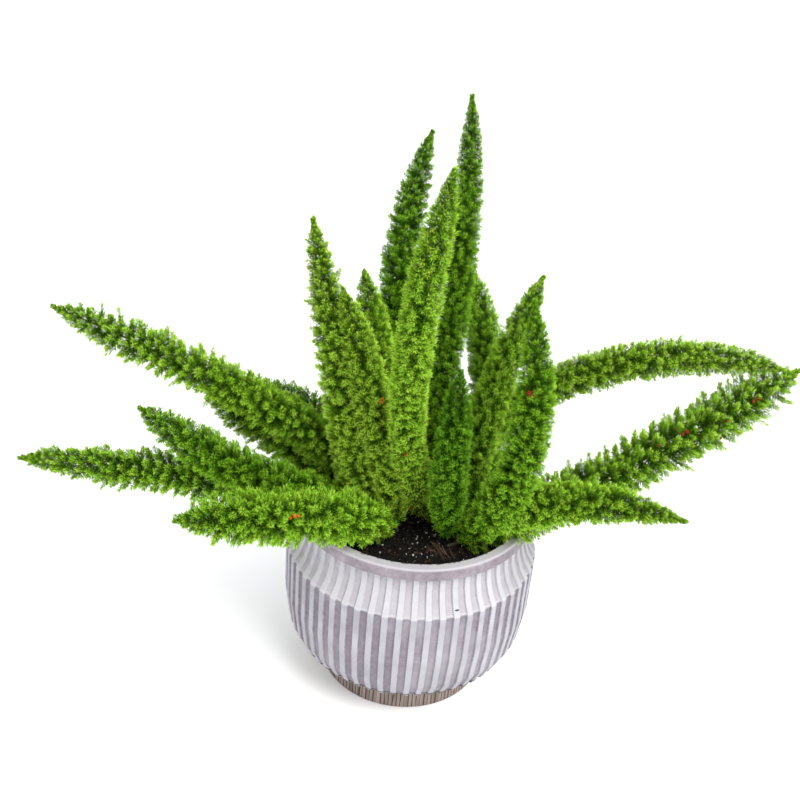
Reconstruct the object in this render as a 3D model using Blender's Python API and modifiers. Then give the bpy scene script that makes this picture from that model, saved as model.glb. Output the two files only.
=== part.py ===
"""A foxtail asparagus fern growing in a ribbed ceramic planter.

Metres. Z is up and the pot stands on z = 0, centred on the origin. X runs to the right and +Y to the
back. The pot is one casting, the soil fills it, and every plume is one stem with its foliage, rooted in
a socket in the soil.
"""

import math

import bpy
from mathutils import Vector, noise

# Pot
POT_HEIGHT = 0.230
RIDGE_RADIUS = 0.140
RIM_RADIUS = 0.936 * RIDGE_RADIUS
RIM_THICKNESS = 0.0105
BAND_HEIGHT = 0.0155
NECK_RADIUS = RIM_RADIUS - 0.0055
RIDGE_HEIGHT = 0.748 * POT_HEIGHT
BODY_END_RADIUS = 0.889 * RIDGE_RADIUS
BODY_END_HEIGHT = 0.217 * POT_HEIGHT
FOOT_RADIUS = 0.679 * RIDGE_RADIUS
FOOT_HEIGHT = 0.130 * POT_HEIGHT
WALL = 0.010
FLOOR = 0.016
EDGE = 0.0013
INSIDE_STEPS = 48
RIB_COUNT = 58
RIB_RISE = 0.0011
RIB_CORNERS = (-0.20, 0.20, 0.28, 0.72)
DRAIN_COUNT = 3
DRAIN_RADIUS = 0.006
DRAIN_RING = 0.474 * FOOT_RADIUS

# Soil
SOIL_LEVEL = POT_HEIGHT - 0.171 * RIDGE_RADIUS
SOIL_DOME = 0.004
SOIL_BUMP = 0.0022
GAP = 0.0004

# Stems and foliage. The tables below are for a ridge radius of 140 mm, and the plant grows with its pot.
MILLIMETRE = 0.001 * RIDGE_RADIUS / 0.140
STEM_RADIUS = 0.0025
ROOTED = 0.028
BARE_LENGTH = 35 * MILLIMETRE
FILL_LENGTH = 80 * MILLIMETRE
TIP_RADIUS = 0.0015
DENSE_SHARE = 0.85

# Every plume: where its stem leaves the soil (x, y, in mm), the heading it sets out on and how far it
# swings round (degrees, 0 to the right and 90 to the back), its slope at the soil and at the tip
# (degrees above level), its length, its radius and the length of its taper (mm).
PLUMES = {
    "plume_tallest_back": (5, 33, 73, -24, 69, 99, 455, 15, 45),
    "plume_tall_left_back": (-32, 14, 116, -51, 89, 50, 420, 20, 45),
    "plume_tall_centre": (10, -9, -121, 62, 63, 74, 495, 16, 50),
    "plume_mid_right_back": (68, 11, 71, 60, 59, 53, 280, 17, 30),
    "plume_lean_right_back": (56, 7, 34, 11, 89, 60, 285, 16, 50),
    "plume_upright_right": (45, -42, -39, -25, 45, 114, 330, 21, 70),
    "plume_upright_left": (-51, -35, -178, 2, 79, 79, 360, 20, 60),
    "plume_behind_left": (34, -31, 156, -1, 56, 79, 305, 16, 45),
    "plume_high_left": (-53, 38, 227, -63, 58, 11, 430, 20, 50),
    "plume_mid_left": (-46, 9, -183, 13, 43, 31, 235, 19, 40),
    "plume_low_left": (-44, -10, 205, -36, 29, -9, 395, 18, 55),
    "plume_short_left": (-31, -5, 223, -59, 28, 29, 310, 15, 45),
    "plume_front_left": (-25, -32, -116, -51, 43, 0, 285, 24, 40),
    "plume_arch_right": (31, 44, -10, 0, 75, -7, 435, 15, 40),
    "plume_long_right": (40, -56, 6, 5, 28, 38, 405, 22, 50),
    "plume_front_right": (54, -35, -33, 7, 55, 1, 270, 21, 45),
    "plume_centre_front": (36, -39, -98, 0, 62, 101, 230, 16, 35),
    "plume_small_front": (44, -28, -36, 0, 50, 104, 90, 12, 30),
    "plume_upright_front": (-17, -38, 187, 6, 80, 72, 300, 19, 50),
    "plume_back_right": (29, 53, 68, 0, 56, -42, 200, 17, 45),
    "plume_back": (-3, 38, 92, 0, 78, -35, 310, 18, 45),
    "plume_back_left": (-22, 34, 104, 0, 60, -40, 215, 18, 45),
    "plume_far_left": (-40, 25, 164, 0, 74, -25, 250, 17, 45),
}

# Old stems that have shed their foliage, in the same terms: base, heading, swing, slopes and length.
BARE_STEMS = {
    "bare_stem_left": (14, 8, 20, 0, 80, 70, 85),
    "bare_stem_right": (32, 2, 80, 0, 84, 76, 70),
}
BARE_STEM_RADIUS = 0.0014


def material(name, colour, roughness):
    """A plain Principled material."""
    made = bpy.data.materials.new(name)
    made.use_nodes = True
    shader = made.node_tree.nodes["Principled BSDF"]
    shader.inputs["Base Color"].default_value = (*colour, 1.0)
    shader.inputs["Roughness"].default_value = roughness
    made.diffuse_color = (*colour, 1.0)
    return made


def collection(name):
    """A new collection in the scene."""
    made = bpy.data.collections.new(name)
    bpy.context.scene.collection.children.link(made)
    return made


def settle(obj):
    """Replaces an object's modifiers or curve by the plain mesh they make."""
    bpy.context.view_layer.update()
    graph = bpy.context.evaluated_depsgraph_get()
    mesh = bpy.data.meshes.new_from_object(obj.evaluated_get(graph))
    name = obj.name
    home = obj.users_collection[0]
    bpy.data.objects.remove(obj)
    made = bpy.data.objects.new(name, mesh)
    home.objects.link(made)
    return made


def lathe(name, profile, steps, home):
    """Turns a profile of (radius, height) points about Z. Its ends lie on the axis."""
    points = [(radius, 0.0, height) for radius, height in profile]
    edges = [(i, i + 1) for i in range(len(points) - 1)]
    mesh = bpy.data.meshes.new(name)
    mesh.from_pydata(points, edges, [])
    obj = bpy.data.objects.new(name, mesh)
    home.objects.link(obj)
    turn = obj.modifiers.new("Turn", "SCREW")
    turn.steps = steps
    turn.render_steps = steps
    turn.use_merge_vertices = True
    turn.merge_threshold = 0.00001
    return settle(obj)


def cut(obj, cutter):
    """Takes the cutter's shape out of an object and keeps the cutter as a hidden helper."""
    cutter.hide_render = True
    cutter.display_type = "WIRE"
    boolean = obj.modifiers.new("Cut", "BOOLEAN")
    boolean.operation = "DIFFERENCE"
    boolean.solver = "EXACT"
    boolean.object = cutter
    return settle(obj)


def shade_smooth(obj, angle):
    """Smooth shading, with edges sharper than the angle kept crisp."""
    for face in obj.data.polygons:
        face.use_smooth = True
    obj.data.set_sharp_from_angle(angle=angle)


def raise_ribs(obj, low, high):
    """Spreads the lathe's steps into ribs and grooves, four steps to each rib, between two heights."""
    steps = 4 * RIB_COUNT
    for vertex in obj.data.vertices:
        radius = math.hypot(vertex.co.x, vertex.co.y)
        if radius < 0.001:
            continue
        step = round(math.atan2(vertex.co.y, vertex.co.x) / math.tau * steps) % steps
        cell, corner = divmod(step, 4)
        if low <= vertex.co.z <= high:
            radius += RIB_RISE if corner < 2 else -RIB_RISE
        angle = (cell + RIB_CORNERS[corner]) * math.tau / RIB_COUNT
        vertex.co.x = radius * math.cos(angle)
        vertex.co.y = radius * math.sin(angle)


def cavity_wall():
    """The inside of the pot from the mouth down to the floor, as (radius, height) points."""
    mouth = RIM_RADIUS - RIM_THICKNESS
    return [
        (mouth, POT_HEIGHT - EDGE),
        (NECK_RADIUS - WALL, SOIL_LEVEL + 0.002),
        (RIDGE_RADIUS - WALL - 0.001, RIDGE_HEIGHT - 0.004),
        (RIDGE_RADIUS - WALL, 0.478 * POT_HEIGHT),
        (BODY_END_RADIUS - 0.004, BODY_END_HEIGHT + 0.018),
        (BODY_END_RADIUS - 0.018, BODY_END_HEIGHT + 0.002),
        (FOOT_RADIUS - 0.009, FOOT_HEIGHT + 0.008),
        (FOOT_RADIUS - 0.015, FLOOR),
    ]


def build_pot(home, helpers):
    """The planter: plain rim band, concave ribbed shoulder, ridge, ribbed body and recessed foot."""
    band_foot = POT_HEIGHT - BAND_HEIGHT
    shoulder = band_foot - RIDGE_HEIGHT
    flare = RIDGE_RADIUS - NECK_RADIUS
    body = RIDGE_HEIGHT - BODY_END_HEIGHT
    profile = [
        (0.0, POT_HEIGHT),
        (RIM_RADIUS - EDGE, POT_HEIGHT),
        (RIM_RADIUS, POT_HEIGHT - EDGE),
        (RIM_RADIUS, band_foot + EDGE),
        (NECK_RADIUS, band_foot - 0.002),
        (NECK_RADIUS + 0.10 * flare, RIDGE_HEIGHT + 0.62 * shoulder),
        (NECK_RADIUS + 0.42 * flare, RIDGE_HEIGHT + 0.30 * shoulder),
        (RIDGE_RADIUS, RIDGE_HEIGHT),
        (RIDGE_RADIUS, RIDGE_HEIGHT - 0.50 * body),
        (RIDGE_RADIUS - 0.0050, RIDGE_HEIGHT - 0.82 * body),
        (BODY_END_RADIUS, BODY_END_HEIGHT),
        (FOOT_RADIUS, FOOT_HEIGHT),
        (FOOT_RADIUS, EDGE),
        (FOOT_RADIUS - EDGE, 0.0),
        (0.0, 0.0),
    ]
    pot = lathe("pot", profile, 4 * RIB_COUNT, home)
    raise_ribs(pot, BODY_END_HEIGHT - 0.001, band_foot - 0.001)

    wall = cavity_wall()
    over = 0.02
    mouth = (wall[0][0] + over, wall[0][1] + over)
    hollow = [(0.0, mouth[1]), mouth, *wall, (0.0, FLOOR)]
    pot = cut(pot, lathe("pot_hollow", hollow, INSIDE_STEPS, helpers))

    for number in range(DRAIN_COUNT):
        turn = math.tau * (number + 0.5) / DRAIN_COUNT
        bore = [(0.0, 2 * FLOOR), (DRAIN_RADIUS, 2 * FLOOR), (DRAIN_RADIUS, -FLOOR), (0.0, -FLOOR)]
        drain = lathe(f"pot_drain_{number}", bore, 16, helpers)
        drain.location = (DRAIN_RING * math.cos(turn), DRAIN_RING * math.sin(turn), 0.0)
        pot = cut(pot, drain)
    shade_smooth(pot, math.radians(25))
    pot.data.materials.append(material("limewashed_ceramic", (0.62, 0.58, 0.63), 0.75))
    return pot


def heading(turn, slope):
    """The unit direction at a compass turn and a slope, both in degrees."""
    turn = math.radians(turn)
    slope = math.radians(slope)
    return Vector(
        (
            math.cos(slope) * math.cos(turn),
            math.cos(slope) * math.sin(turn),
            math.sin(slope),
        )
    )


def centre_line(base, turn, swing, slope, tip_slope, length, stops):
    """Points along a stem at the given distances from the soil. It turns and bends evenly."""
    pieces = 64
    point = Vector((base[0], base[1], SOIL_LEVEL))
    walked = [point.copy()]
    for piece in range(pieces):
        share = (piece + 0.5) / pieces
        way = heading(turn + swing * share, slope + (tip_slope - slope) * share)
        point = point + way * (length / pieces)
        walked.append(point.copy())
    found = []
    for stop in stops:
        place = min(stop / length, 1.0) * pieces
        piece = min(int(place), pieces - 1)
        found.append(walked[piece].lerp(walked[piece + 1], place - piece))
    return found


def tube(name, points, radii, home):
    """A round tube through the points, closed at both ends, with a radius at each point."""
    curve = bpy.data.curves.new(name, "CURVE")
    curve.dimensions = "3D"
    curve.bevel_depth = 1.0
    curve.bevel_resolution = 2
    curve.use_fill_caps = True
    line = curve.splines.new("POLY")
    line.points.add(len(points) - 1)
    for spot, point, radius in zip(line.points, points, radii):
        spot.co = (*point, 1.0)
        spot.radius = radius
    obj = bpy.data.objects.new(name, curve)
    home.objects.link(obj)
    obj = settle(obj)
    joined = obj.modifiers.new("Weld", "WELD")
    joined.merge_threshold = 0.00001
    return settle(obj)


def plume_stops(length):
    """Distances at which a plume is measured: bare stem, filling out, then evenly to the tip."""
    bare = min(BARE_LENGTH, 0.20 * length)
    fill = min(FILL_LENGTH, 0.35 * length)
    rest = length - bare - fill
    stops = [0.0, 0.5 * bare, bare, bare + 0.33 * fill, bare + 0.67 * fill, bare + fill]
    stops += [bare + fill + rest * share for share in (0.25, 0.5, 0.7, 0.85, 0.94, 1.0)]
    return stops


def plume_radius(along, length, widest, taper):
    """Radius of the dense foliage at a distance from the soil."""
    bare = min(BARE_LENGTH, 0.20 * length)
    fill = min(FILL_LENGTH, 0.35 * length)
    filled = min(max((along - bare) / fill, 0.0), 1.0)
    pointed = 1.0 - math.exp(-(length - along) / taper)
    body = STEM_RADIUS + (DENSE_SHARE * widest - STEM_RADIUS) * filled
    return max(body * pointed, TIP_RADIUS)


def rooted(points):
    """The same stem with its straight buried end below the soil's surface."""
    base = points[0]
    below = [Vector((base.x, base.y, SOIL_LEVEL - depth)) for depth in (ROOTED, 0.4 * ROOTED)]
    return below + points


def build_stems(home, helpers):
    """Every plume and bare stem, with the clearance tools for their sockets in the soil."""
    green = material("plume_green", (0.13, 0.27, 0.03), 0.6)
    tan = material("old_stem_tan", (0.42, 0.31, 0.14), 0.7)
    sockets = []
    for name, row in PLUMES.items():
        x, y, turn, swing, slope, tip_slope = row[:6]
        length, widest, taper = (size * MILLIMETRE for size in row[6:])
        base = (x * MILLIMETRE, y * MILLIMETRE)
        stops = plume_stops(length)
        line = centre_line(base, turn, swing, slope, tip_slope, length, stops)
        radii = [plume_radius(stop, length, widest, taper) for stop in stops]
        plume = tube(name, rooted(line), [STEM_RADIUS, STEM_RADIUS, *radii], home)
        finish(plume, green)
        sockets.append((name, line, STEM_RADIUS))
    for name, row in BARE_STEMS.items():
        x, y, turn, swing, slope, tip_slope = row[:6]
        length = row[6] * MILLIMETRE
        base = (x * MILLIMETRE, y * MILLIMETRE)
        stops = [length * share / 4 for share in range(5)]
        line = centre_line(base, turn, swing, slope, tip_slope, length, stops)
        stem = tube(name, rooted(line), [BARE_STEM_RADIUS] * (len(line) + 2), home)
        finish(stem, tan)
        sockets.append((name, line, BARE_STEM_RADIUS))
    tools = []
    for name, line, radius in sockets:
        base = line[0]
        end = Vector((base.x, base.y, SOIL_LEVEL - ROOTED - GAP))
        middle = Vector((base.x, base.y, SOIL_LEVEL - 0.4 * ROOTED))
        points = [end, middle, *line[:3]]
        tools.append(tube(f"{name}_socket", points, [radius + GAP] * len(points), helpers))
    return tools


def finish(obj, look):
    """Smooth shading and a material for a round piece."""
    for face in obj.data.polygons:
        face.use_smooth = True
    obj.data.materials.append(look)


def build_soil(home, sockets):
    """Potting soil, domed and bumpy on top, filling the pot and open where the stems go in."""
    wall = cavity_wall()
    neck = wall[1][0] - GAP
    rings = (0.0, 0.2, 0.4, 0.6, 0.8, 0.94, 1.0)
    top = [(neck * ring, SOIL_LEVEL + SOIL_DOME * (1 - ring * ring)) for ring in rings]
    side = [(radius - GAP, height) for radius, height in wall[2:-1]]
    bottom = [(wall[-1][0] - GAP, FLOOR + GAP), (0.0, FLOOR + GAP)]
    soil = lathe("soil", top + side + bottom, INSIDE_STEPS, home)
    for vertex in soil.data.vertices:
        edge = 1.0 - math.hypot(vertex.co.x, vertex.co.y) / neck
        if vertex.co.z > SOIL_LEVEL - 0.0001 and edge > 0.01:
            lump = noise.noise(Vector((vertex.co.x * 75, vertex.co.y * 75, 3.0)))
            vertex.co.z += SOIL_BUMP * lump
    soil.modifiers.new("Triangles", "TRIANGULATE")
    soil = settle(soil)
    for socket in sockets:
        soil = cut(soil, socket)
    shade_smooth(soil, math.radians(40))
    soil.data.materials.append(material("potting_soil", (0.03, 0.022, 0.016), 0.95))
    return soil


def main():
    for obj in list(bpy.data.objects):
        bpy.data.objects.remove(obj)
    home = collection("potted_foxtail_fern")
    helpers = collection("cutters")
    helpers.hide_render = True
    build_pot(home, helpers)
    sockets = build_stems(home, helpers)
    build_soil(home, sockets)


main()
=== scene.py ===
"""The potted foxtail fern: the ribbed pot, its soil, and every plume with its branches and needles."""

import math

import bpy
import numpy as np
from mathutils import Matrix, Vector, noise


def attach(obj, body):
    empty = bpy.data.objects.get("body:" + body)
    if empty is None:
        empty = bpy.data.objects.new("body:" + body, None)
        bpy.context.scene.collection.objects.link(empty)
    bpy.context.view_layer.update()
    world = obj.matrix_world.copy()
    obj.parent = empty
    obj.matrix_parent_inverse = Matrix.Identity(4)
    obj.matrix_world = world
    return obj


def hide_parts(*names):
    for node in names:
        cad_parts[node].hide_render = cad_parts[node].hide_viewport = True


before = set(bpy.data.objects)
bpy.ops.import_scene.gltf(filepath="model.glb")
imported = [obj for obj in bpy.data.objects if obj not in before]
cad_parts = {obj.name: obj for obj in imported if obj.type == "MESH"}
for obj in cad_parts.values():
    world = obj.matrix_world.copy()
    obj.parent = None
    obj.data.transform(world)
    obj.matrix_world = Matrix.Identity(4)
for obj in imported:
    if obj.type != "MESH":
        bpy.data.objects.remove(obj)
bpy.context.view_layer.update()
RNG = np.random.default_rng(816)

# The pot, as in the CAD model
POT_HEIGHT = 0.230
RIDGE_RADIUS = 0.140
RIM_RADIUS = 0.936 * RIDGE_RADIUS
RIM_THICKNESS = 0.0105
MOUTH_RADIUS = RIM_RADIUS - RIM_THICKNESS
BAND_HEIGHT = 0.0155
NECK_RADIUS = RIM_RADIUS - 0.0055
RIDGE_HEIGHT = 0.748 * POT_HEIGHT
BODY_END_HEIGHT = 0.217 * POT_HEIGHT
WALL = 0.010
FLOOR = 0.016
FOOT_TOP = 0.060
RIB_COUNT = 58
FOOT_LINES = 132
NICK_PLACE = (0.0516, -0.1278, 0.1785)
NICK_SIZE = 0.0037
SOIL_LEVEL = POT_HEIGHT - 0.171 * RIDGE_RADIUS
SOIL_GAP = 0.0008
BARE_STEM_RADIUS = 0.0014

# Every plume's line, as in the CAD model: base x and y (mm), heading and swing, slope at the soil and at
# the tip (degrees), length (mm). Then its looks: widest half-width and length of its taper (mm), how
# ragged its outline is (share of the width), how light its green is, how dense its side branches are and
# how strongly they gather in tiers along the stem.
PLUMES = {
    "plume_tallest_back": ((5, 33, 73, -24, 69, 99, 455), (17.0, 60, 0.10, 0.40, 1.30, 0.00)),
    "plume_tall_left_back": ((-32, 14, 116, -51, 89, 50, 420), (19.5, 50, 0.14, 0.30, 1.15, 0.35)),
    "plume_tall_centre": ((10, -9, -121, 62, 63, 74, 495), (15.8, 50, 0.12, 0.76, 1.35, 0.00)),
    "plume_mid_right_back": ((68, 11, 71, 60, 59, 53, 280), (20.0, 27, 0.10, 0.66, 1.25, 0.00)),
    "plume_lean_right_back": ((56, 7, 34, 11, 89, 60, 285), (18.5, 38, 0.10, 0.76, 1.30, 0.00)),
    "plume_upright_right": ((45, -42, -39, -25, 45, 114, 330), (21.5, 60, 0.12, 0.45, 1.10, 0.00)),
    "plume_upright_left": ((-51, -35, -178, 2, 79, 79, 360), (20.5, 62, 0.16, 0.97, 1.10, 0.55)),
    "plume_behind_left": ((34, -31, 156, -1, 56, 79, 305), (16.5, 28, 0.12, 0.78, 1.35, 0.00)),
    "plume_high_left": ((-53, 38, 227, -63, 58, 11, 430), (20.5, 46, 0.20, 0.76, 0.95, 0.75)),
    "plume_mid_left": ((-46, 9, -183, 13, 43, 31, 235), (28.0, 34, 0.15, 0.80, 0.92, 0.20)),
    "plume_low_left": ((-44, -10, 205, -36, 29, -9, 395), (20.5, 55, 0.18, 0.70, 0.98, 0.65)),
    "plume_short_left": ((-31, -5, 223, -59, 28, 29, 310), (21.0, 30, 0.15, 0.50, 1.00, 0.00)),
    "plume_front_left": ((-25, -32, -116, -51, 43, 0, 285), (24.0, 28, 0.24, 0.67, 0.95, 0.45)),
    "plume_arch_right": ((31, 44, -10, 0, 75, -7, 435), (18.5, 42, 0.11, 0.86, 1.15, 0.25)),
    "plume_long_right": ((40, -56, 6, 5, 28, 38, 405), (25.5, 32, 0.18, 0.79, 0.76, 0.75)),
    "plume_front_right": ((54, -35, -33, 7, 55, 1, 270), (22.5, 60, 0.14, 0.74, 1.05, 0.00)),
    "plume_centre_front": ((36, -39, -98, 0, 62, 101, 230), (18.0, 36, 0.12, 0.16, 1.20, 0.00)),
    "plume_small_front": ((44, -28, -36, 0, 50, 104, 90), (13.0, 35, 0.12, 0.44, 1.00, 0.00)),
    "plume_upright_front": ((-17, -38, 187, 6, 80, 72, 300), (20.0, 50, 0.12, 0.97, 1.10, 0.00)),
    "plume_back_right": ((29, 53, 68, 0, 56, -42, 200), (16.0, 45, 0.16, 0.50, 0.90, 0.00)),
    "plume_back": ((-3, 38, 92, 0, 78, -35, 310), (18.0, 45, 0.16, 0.56, 0.90, 0.00)),
    "plume_back_left": ((-22, 34, 104, 0, 60, -40, 215), (18.0, 45, 0.16, 0.60, 0.90, 0.00)),
    "plume_far_left": ((-40, 25, 164, 0, 74, -25, 250), (17.0, 45, 0.16, 0.52, 0.90, 0.00)),
}
BARE_STEMS = {
    "bare_stem_left": (14, 8, 20, 0, 80, 70, 85),
    "bare_stem_right": (32, 2, 80, 0, 84, 76, 70),
}

# Berries: plume, distance along it, distance to the right of its line, radius (all mm) and tone
BERRIES = [
    ("plume_upright_right", 249, -8, 2.7, 0.05),
    ("plume_upright_right", 246, -5, 1.7, 0.15),
    ("plume_upright_front", 178, 8, 2.3, 0.75),
    ("plume_upright_front", 181, 10, 1.6, 0.85),
    ("plume_tall_centre", 152, -3, 1.9, 0.35),
    ("plume_front_left", 181, -3, 2.6, 0.75),
    ("plume_front_left", 177, -3, 2.2, 0.85),
    ("plume_front_left", 185, -1, 1.8, 0.60),
    ("plume_long_right", 246, -8, 1.5, 0.20),
    ("plume_long_right", 277, -7, 2.6, 0.08),
    ("plume_long_right", 272, -7, 2.1, 0.20),
    ("plume_long_right", 303, 15, 1.4, 0.20),
    ("plume_long_right", 316, 3, 1.5, 0.12),
    ("plume_long_right", 354, 0, 2.4, 0.08),
    ("plume_long_right", 349, 0, 1.9, 0.25),
]

# Foliage, in millimetres: how far apart side branches stand, the bare foot of a plume, the length over
# which it fills out, and the spacing of its tiers
CLUSTER = 7.9
LEAFLESS = 16.0
FILL_LENGTH = 70.0
TIER = 10.5
# The share of side branches that grow long, and how much longer they are at the tip of a tiered plume
LONG_SHARE = 0.14
LONGER = 0.45
NEEDLE_LENGTH = 7.2
NEEDLE_RADIUS = 0.60
NEEDLE_GAP = 0.40
STEM_FOOT_RADIUS = 2.3
STEM_TIP_RADIUS = 0.6
STALK_RADII = (0.00045, 0.00015)
GOLDEN = math.radians(137.508)
# How far a side branch leans out more at its root, and in more at its end (radians)
BRANCH_BENDS = (0.20, 0.25)
# The share of dead needles anywhere, and at the foot of a plume with browned lower needles
DEAD_SHARE = 0.004
BROWNED_SHARE = 0.42
# Plumes whose lower needles have browned, with the height over which that fades (mm)
OLD_BASES = {"plume_tall_centre": 60.0, "plume_lean_right_back": 22.0, "plume_behind_left": 30.0}


# ---------------------------------------------------------------- node helpers


def new_material(name):
    """A node material. Returns it with its node tree's nodes, a link function and its Principled shader."""
    made = bpy.data.materials.new(name)
    made.use_nodes = True
    tree = made.node_tree
    return made, tree.nodes, tree.links.new, tree.nodes["Principled BSDF"]


def ramp(nodes, stops):
    """A colour ramp with the given (place, colour) stops. A single number makes a grey."""
    node = nodes.new("ShaderNodeValToRGB")
    elements = node.color_ramp.elements
    while len(elements) < len(stops):
        elements.new(0.5)
    for element, (place, colour) in zip(elements, stops):
        element.position = place
        element.color = (*colour, 1.0) if isinstance(colour, tuple) else (colour, colour, colour, 1.0)
    return node


def math_node(nodes, link, operation, first, second=None, third=None):
    """A Math node. Its inputs are sockets or numbers."""
    node = nodes.new("ShaderNodeMath")
    node.operation = operation
    for socket, value in zip(node.inputs, (first, second, third)):
        if value is None:
            continue
        if isinstance(value, (int, float)):
            socket.default_value = value
        else:
            link(value, socket)
    return node.outputs[0]


def mix(nodes, link, share, first, second, blend="MIX"):
    """A colour Mix node. Its inputs are sockets, or a number or colour."""
    node = nodes.new("ShaderNodeMix")
    node.data_type = "RGBA"
    node.blend_type = blend
    for socket, value in ((node.inputs[0], share), (node.inputs[6], first), (node.inputs[7], second)):
        if isinstance(value, tuple):
            socket.default_value = (*value, 1.0)
        elif isinstance(value, (int, float)):
            socket.default_value = value
        else:
            link(value, socket)
    return node.outputs[2]


def noise_node(nodes, link, vector, scale, detail=3.0, roughness=0.5):
    """A noise texture's grey value."""
    node = nodes.new("ShaderNodeTexNoise")
    node.inputs["Scale"].default_value = scale
    node.inputs["Detail"].default_value = detail
    node.inputs["Roughness"].default_value = roughness
    link(vector, node.inputs["Vector"])
    return node.outputs["Fac"]


def step_between(nodes, link, value, low, high):
    """0 below low, 1 above high, and smooth between."""
    node = nodes.new("ShaderNodeMapRange")
    node.interpolation_type = "SMOOTHSTEP"
    node.inputs["From Min"].default_value = low
    node.inputs["From Max"].default_value = high
    link(value, node.inputs["Value"])
    return node.outputs["Result"]


def bump(nodes, link, shader, height, strength, distance):
    """Bumps the shader's normal by a height."""
    node = nodes.new("ShaderNodeBump")
    node.inputs["Strength"].default_value = strength
    node.inputs["Distance"].default_value = distance
    link(height, node.inputs["Height"])
    link(node.outputs["Normal"], shader.inputs["Normal"])


def toned_material(name, tones, shade_and_mottle_stops, roughness, specular):
    """A material whose colour is each small part's own tone (Shade map x) times a level (Shade map y) that is
    painted shade and light on some parts and a random mottle on others.
    """
    made, nodes, link, shader = new_material(name)
    place = nodes.new("ShaderNodeUVMap")
    place.uv_map = "Shade"
    parts = nodes.new("ShaderNodeSeparateXYZ")
    link(place.outputs["UV"], parts.inputs["Vector"])
    tone = ramp(nodes, tones)
    link(parts.outputs["X"], tone.inputs["Fac"])
    # The Shade y level multiplies the tone: painted shade and light on some parts, a random mottle on others.
    shade_and_mottle_ramp = ramp(nodes, shade_and_mottle_stops)
    link(parts.outputs["Y"], shade_and_mottle_ramp.inputs["Fac"])
    colour = mix(nodes, link, 1.0, tone.outputs["Color"], shade_and_mottle_ramp.outputs["Color"], "MULTIPLY")
    link(colour, shader.inputs["Base Color"])
    shader.inputs["Roughness"].default_value = roughness
    shader.inputs["Specular IOR Level"].default_value = specular
    return made


# ---------------------------------------------------------------- mesh helpers


def mesh_piece(name, vertices, faces, shade, material, smooth=True):
    """A mesh object from arrays of points, triangles and each point's place in the Shade map."""
    mesh = bpy.data.meshes.new(name)
    mesh.vertices.add(len(vertices))
    mesh.vertices.foreach_set("co", vertices.astype(np.float32).ravel())
    mesh.loops.add(faces.size)
    mesh.loops.foreach_set("vertex_index", faces.astype(np.int32).ravel())
    mesh.polygons.add(len(faces))
    mesh.polygons.foreach_set("loop_start", np.arange(0, faces.size, 3, dtype=np.int32))
    mesh.update(calc_edges=True)
    if shade is not None:
        corners = shade[faces.ravel()].astype(np.float32).ravel()
        for layer in ("Shade", "OFBake"):
            mesh.uv_layers.new(name=layer).data.foreach_set("uv", corners)
    mesh.polygons.foreach_set("use_smooth", np.full(len(faces), smooth))
    mesh.materials.append(material)
    mesh.validate()
    obj = bpy.data.objects.new(name, mesh)
    bpy.context.scene.collection.objects.link(obj)
    return obj


class Pile:
    """Collects points, triangles and shade places, to make one mesh of many small parts."""

    def __init__(self):
        self.points, self.faces, self.shades, self.count = [], [], [], 0

    def add(self, points, faces, shades):
        """points (n, k, 3) and shades (n, k, 2) for n copies that share the same triangles (f, 3)."""
        copies, each = points.shape[:2]
        starts = self.count + np.arange(copies)[:, None, None] * each
        self.points.append(points.reshape(-1, 3))
        self.faces.append((faces[None] + starts).reshape(-1, 3))
        self.shades.append(shades.reshape(-1, 2))
        self.count += copies * each

    def piece(self, name, material, smooth=True):
        """The one mesh object."""
        joined = (np.concatenate(part) for part in (self.points, self.faces, self.shades))
        return mesh_piece(name, *joined, material, smooth)


def unit(vectors):
    return vectors / np.linalg.norm(vectors, axis=-1, keepdims=True)


def across(vectors):
    """Two unit vectors square to each given unit vector."""
    helper = np.where(np.abs(vectors[..., 2:3]) < 0.9, [0.0, 0.0, 1.0], [1.0, 0.0, 0.0])
    side = unit(np.cross(vectors, helper))
    return side, np.cross(vectors, side)


def heading(turn, slope):
    turn, slope = np.radians(turn), np.radians(slope)
    flat = np.cos(slope)
    return np.stack([flat * np.cos(turn), flat * np.sin(turn), np.sin(slope)], axis=-1)


class Line:
    """A stem's centre line, with a frame carried along it without twist."""

    PIECES = 64

    def __init__(self, x, y, turn, swing, slope, tip_slope, length):
        share = (np.arange(self.PIECES) + 0.5) / self.PIECES
        ways = heading(turn + swing * share, slope + (tip_slope - slope) * share)
        start = np.array([x / 1000, y / 1000, SOIL_LEVEL])
        step = length / 1000 / self.PIECES
        self.points = np.vstack([start, start + np.cumsum(ways * step, axis=0)])
        self.length = float(length)
        self.places = np.linspace(0.0, length, self.PIECES + 1)
        self.ways = unit(np.gradient(self.points, axis=0))
        side = across(self.ways[0])[0]
        sides = []
        for way in self.ways:
            side = unit(side - way * np.dot(side, way))
            sides.append(side)
        self.sides = np.array(sides)

    def at(self, places):
        """Points, ways and two side vectors at distances in mm from the soil."""
        found = [
            np.stack([np.interp(places, self.places, values[:, k]) for k in range(3)], axis=-1)
            for values in (self.points, self.ways, self.sides)
        ]
        point, way, side = found[0], unit(found[1]), found[2]
        side = unit(side - way * np.sum(side * way, axis=-1, keepdims=True))
        return point, way, side, np.cross(way, side)


def tube_faces(rings, sides):
    """Triangles of a closed tube whose points run ring by ring, then its two end points."""
    faces = []
    for ring in range(rings - 1):
        for side in range(sides):
            a = ring * sides + side
            b = ring * sides + (side + 1) % sides
            faces += [(a, b, b + sides), (a, b + sides, a + sides)]
    first, last = rings * sides, rings * sides + 1
    top = (rings - 1) * sides
    for side in range(sides):
        following = (side + 1) % sides
        faces += [(first, following, side), (last, top + side, top + following)]
    return np.array(faces)


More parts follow.
